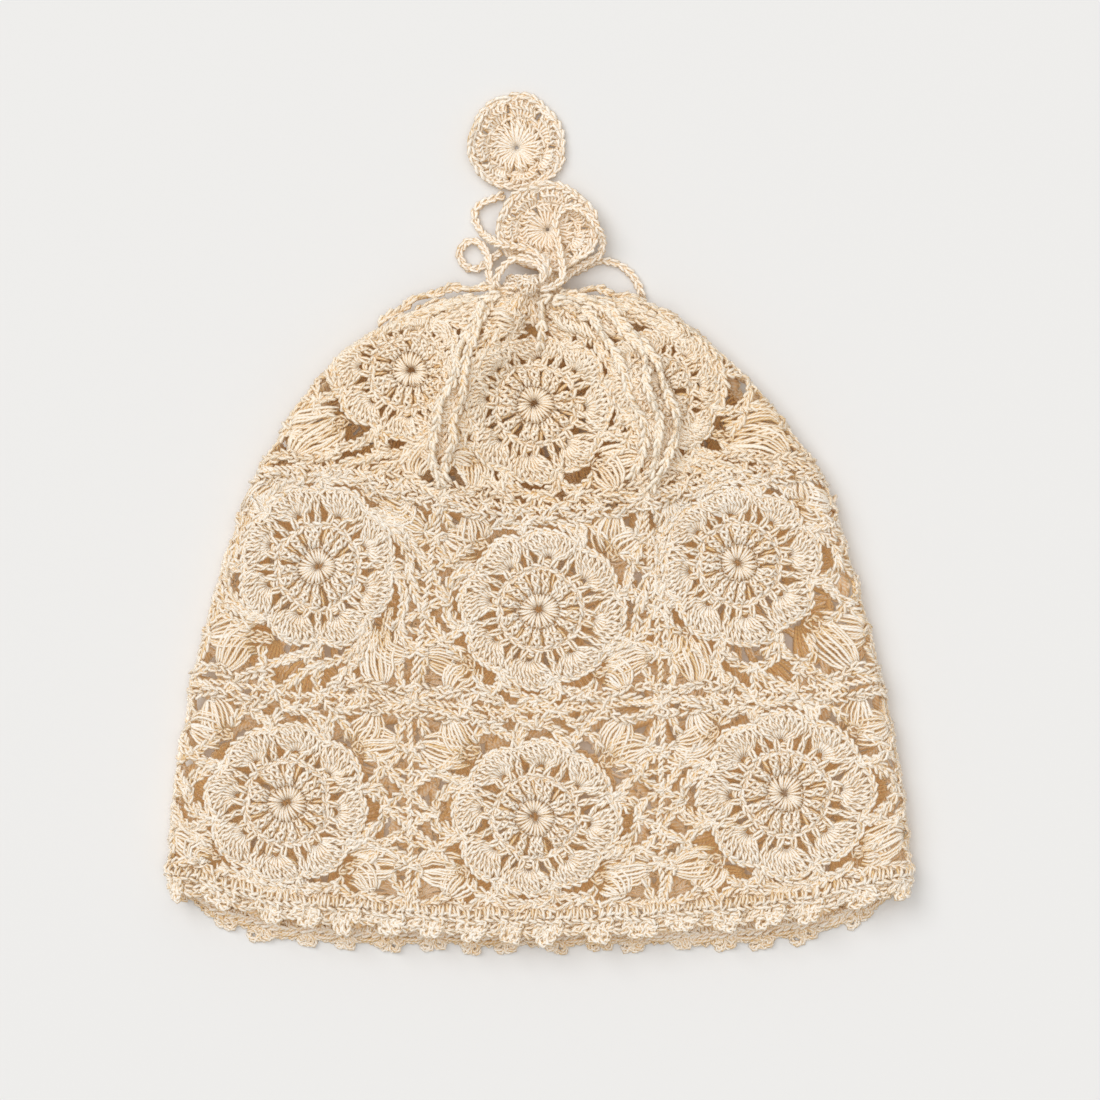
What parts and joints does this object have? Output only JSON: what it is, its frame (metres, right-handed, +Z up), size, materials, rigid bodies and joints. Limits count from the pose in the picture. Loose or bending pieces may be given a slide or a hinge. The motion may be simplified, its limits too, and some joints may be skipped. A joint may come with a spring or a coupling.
{
  "type": "crochet beanie",
  "caption": "Cotton crochet beanie of square lace motifs, lying flat, with a picot hem and a top gathered by a drawstring tied in a bow, with a round medallion on each free end.",
  "frame": {"origin": "middle of the lying hat on the surface under it, measured without the free cords and medallions", "axes": "+X across the hat to its right, +Y from the opening to the gathered top, +Z up through the two layers"},
  "size_m": [0.2679, 0.3081, 0.0242],
  "materials": {
    "cotton_lace": "cream cotton yarn, crocheted, matt",
    "cotton_cord": "cream cotton cord, crocheted, matt"
  },
  "bodies": {
    "root": {"motif_front_low_left": "cotton_lace", "motif_front_low_middle": "cotton_lace", "motif_front_low_right": "cotton_lace", "motif_front_mid_left": "cotton_lace", "motif_front_mid_middle": "cotton_lace", "motif_front_mid_right": "cotton_lace", "motif_front_top_left": "cotton_lace", "motif_front_top_middle": "cotton_lace", "motif_front_top_right": "cotton_lace", "motif_back_low_left": "cotton_lace", "motif_back_low_middle": "cotton_lace", "motif_back_low_right": "cotton_lace", "motif_back_mid_left": "cotton_lace", "motif_back_mid_middle": "cotton_lace", "motif_back_mid_right": "cotton_lace", "motif_back_top_left": "cotton_lace", "motif_back_top_middle": "cotton_lace", "motif_back_top_right": "cotton_lace", "hem_band": "cotton_lace", "gathered_top": "cotton_lace", "drawstring": "cotton_cord", "bow_knot": "cotton_cord", "bow_loop_front": "cotton_cord", "bow_loop_right": "cotton_cord", "bow_loop_back": "cotton_cord", "tail_lower": "cotton_cord", "tail_upper": "cotton_cord", "medallion_lower": "cotton_cord", "medallion_upper": "cotton_cord"}
  },
  "joints": []
}
